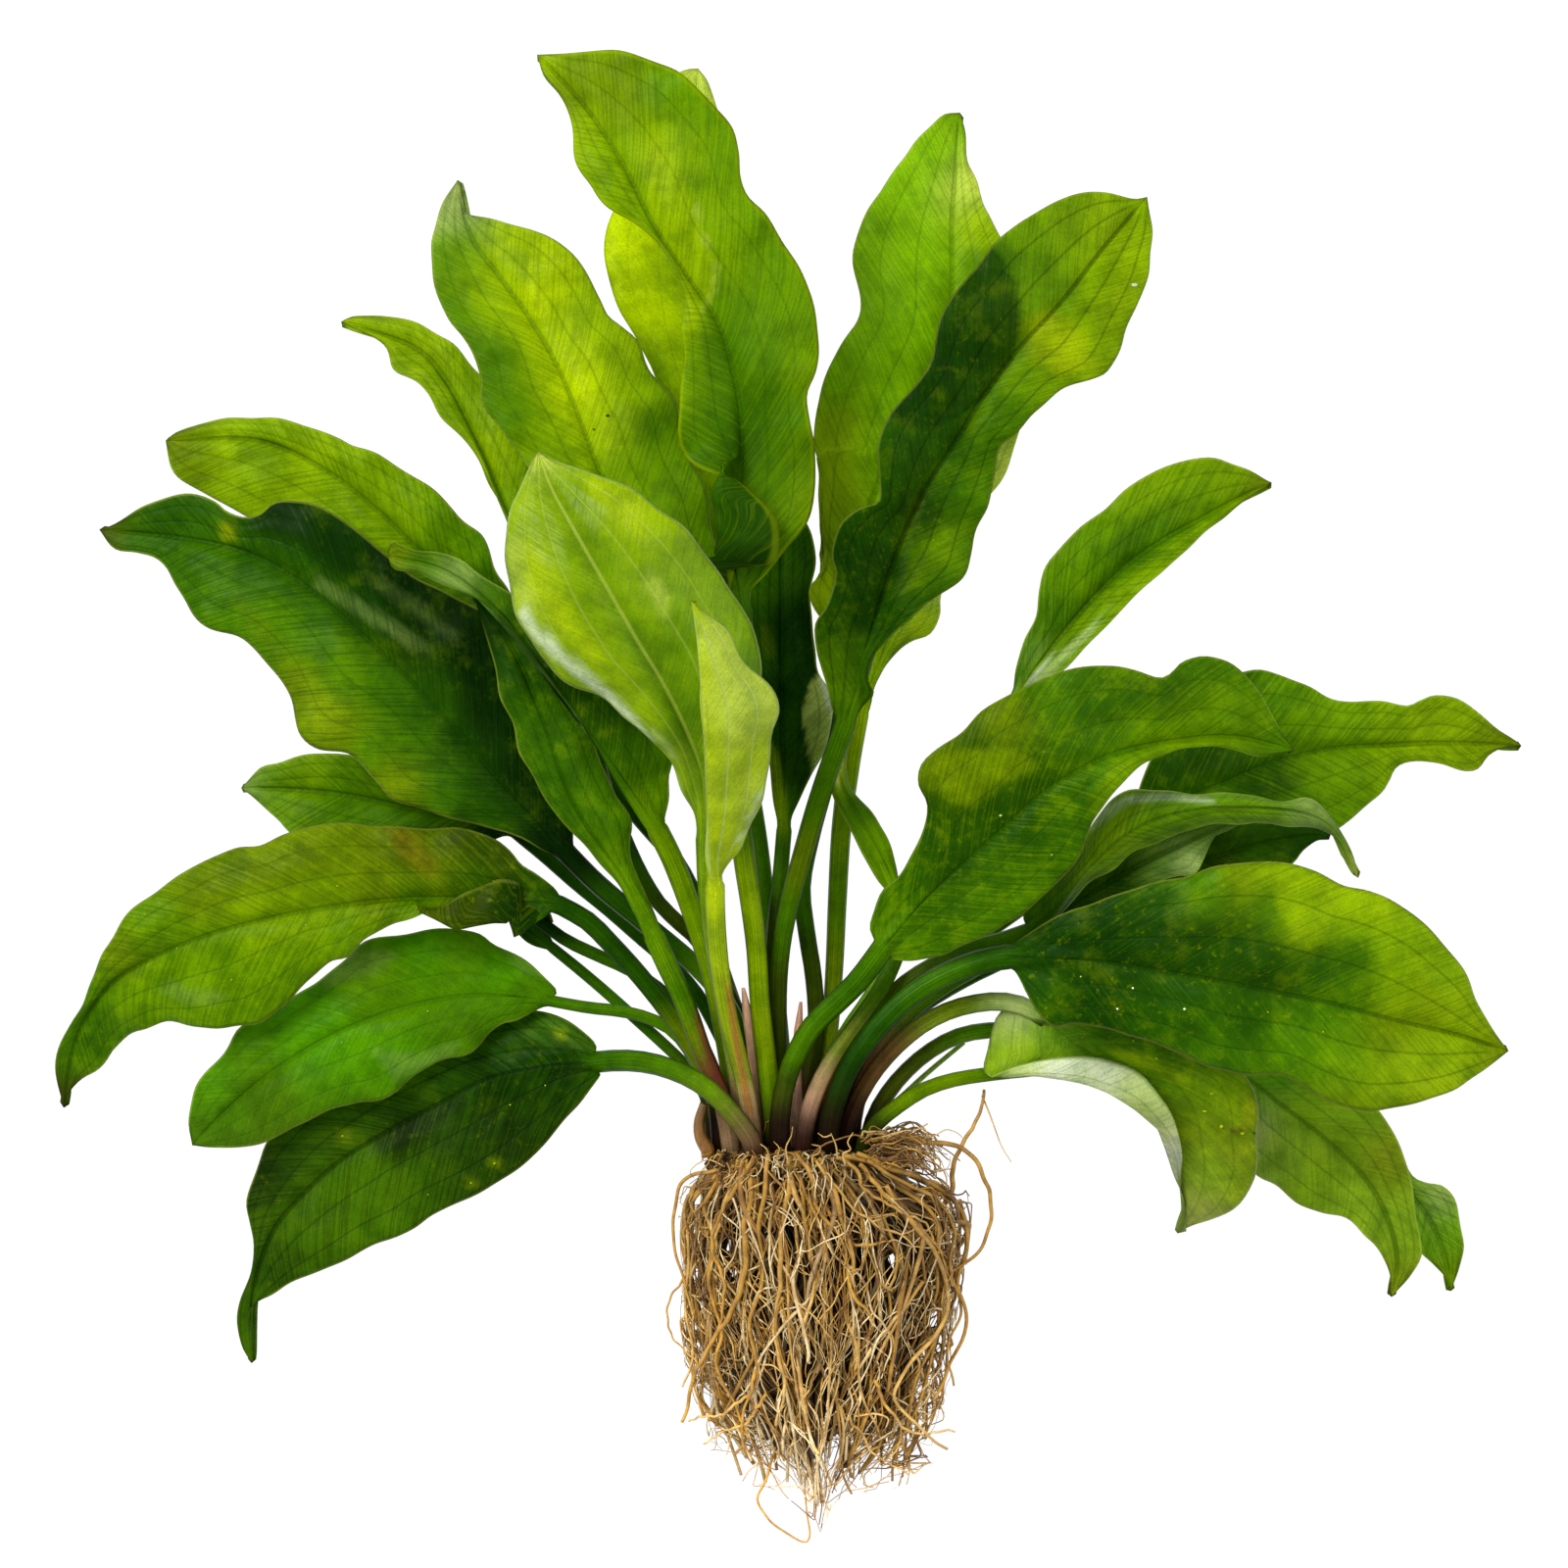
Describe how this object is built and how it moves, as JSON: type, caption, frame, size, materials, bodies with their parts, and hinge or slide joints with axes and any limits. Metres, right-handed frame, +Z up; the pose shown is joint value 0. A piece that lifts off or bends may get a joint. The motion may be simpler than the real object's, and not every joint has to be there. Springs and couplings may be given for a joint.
{
  "type": "echinodorus plant",
  "caption": "Bare-root aquarium sword plant lying on its back: a fan of broad ribbed leaves on long stalks from a short crown, with a dense tangle of roots.",
  "frame": {"origin": "on the flat surface that the plant lies on, under the top of the root ball", "axes": "+Y from the roots to the leaf tips, +X to the right seen from above, +Z up from the surface"},
  "size_m": [0.3745, 0.3807, 0.1202],
  "materials": {
    "leaf_left_large": "satin",
    "leaf_left_upper": "satin",
    "leaf_top_left_slender": "satin",
    "leaf_top_left": "satin",
    "leaf_top_center": "satin",
    "leaf_top_behind": "satin",
    "leaf_top_right": "satin",
    "leaf_upper_right_dark": "satin",
    "leaf_right_upper": "satin",
    "leaf_right_far": "satin",
    "leaf_right_front": "satin",
    "leaf_right_arched": "satin",
    "leaf_right_under": "satin",
    "leaf_right_under_low": "satin",
    "leaf_right_broad": "satin",
    "leaf_right_curled": "satin",
    "leaf_right_low": "satin",
    "leaf_right_lowest": "satin",
    "leaf_left_broad": "satin",
    "leaf_left_small": "satin",
    "leaf_left_bright": "satin",
    "leaf_left_lowest": "satin",
    "leaf_front_pale_large": "satin",
    "leaf_front_pale_small": "satin",
    "leaf_front_folded": "satin",
    "leaf_front_dark": "satin",
    "leaf_inner_narrow": "satin",
    "leaf_center_dark": "satin",
    "leaf_upper_right_hidden": "satin",
    "leaf_left_under_small": "satin",
    "leaf_left_under_narrow": "satin",
    "rhizome": "matt",
    "root_ball": "matt",
    "bare_stalk": "satin",
    "young_shoot": "satin",
    "pink_shoot": "satin",
    "dry_sheath": "matt"
  },
  "bodies": {
    "root": {"leaf_left_large": "leaf_left_large", "leaf_left_upper": "leaf_left_upper", "leaf_top_left_slender": "leaf_top_left_slender", "leaf_top_left": "leaf_top_left", "leaf_top_center": "leaf_top_center", "leaf_top_behind": "leaf_top_behind", "leaf_top_right": "leaf_top_right", "leaf_upper_right_dark": "leaf_upper_right_dark", "leaf_right_upper": "leaf_right_upper", "leaf_right_far": "leaf_right_far", "leaf_right_front": "leaf_right_front", "leaf_right_arched": "leaf_right_arched", "leaf_right_under": "leaf_right_under", "leaf_right_under_low": "leaf_right_under_low", "leaf_right_broad": "leaf_right_broad", "leaf_right_curled": "leaf_right_curled", "leaf_right_low": "leaf_right_low", "leaf_right_lowest": "leaf_right_lowest", "leaf_left_broad": "leaf_left_broad", "leaf_left_small": "leaf_left_small", "leaf_left_bright": "leaf_left_bright", "leaf_left_lowest": "leaf_left_lowest", "leaf_front_pale_large": "leaf_front_pale_large", "leaf_front_pale_small": "leaf_front_pale_small", "leaf_front_folded": "leaf_front_folded", "leaf_front_dark": "leaf_front_dark", "leaf_inner_narrow": "leaf_inner_narrow", "leaf_center_dark": "leaf_center_dark", "leaf_upper_right_hidden": "leaf_upper_right_hidden", "leaf_left_under_small": "leaf_left_under_small", "leaf_left_under_narrow": "leaf_left_under_narrow", "rhizome": "rhizome", "root_ball": "root_ball", "bare_stalk": "bare_stalk", "young_shoot": "young_shoot", "pink_shoot": "pink_shoot", "dry_sheath": "dry_sheath"}
  },
  "joints": []
}
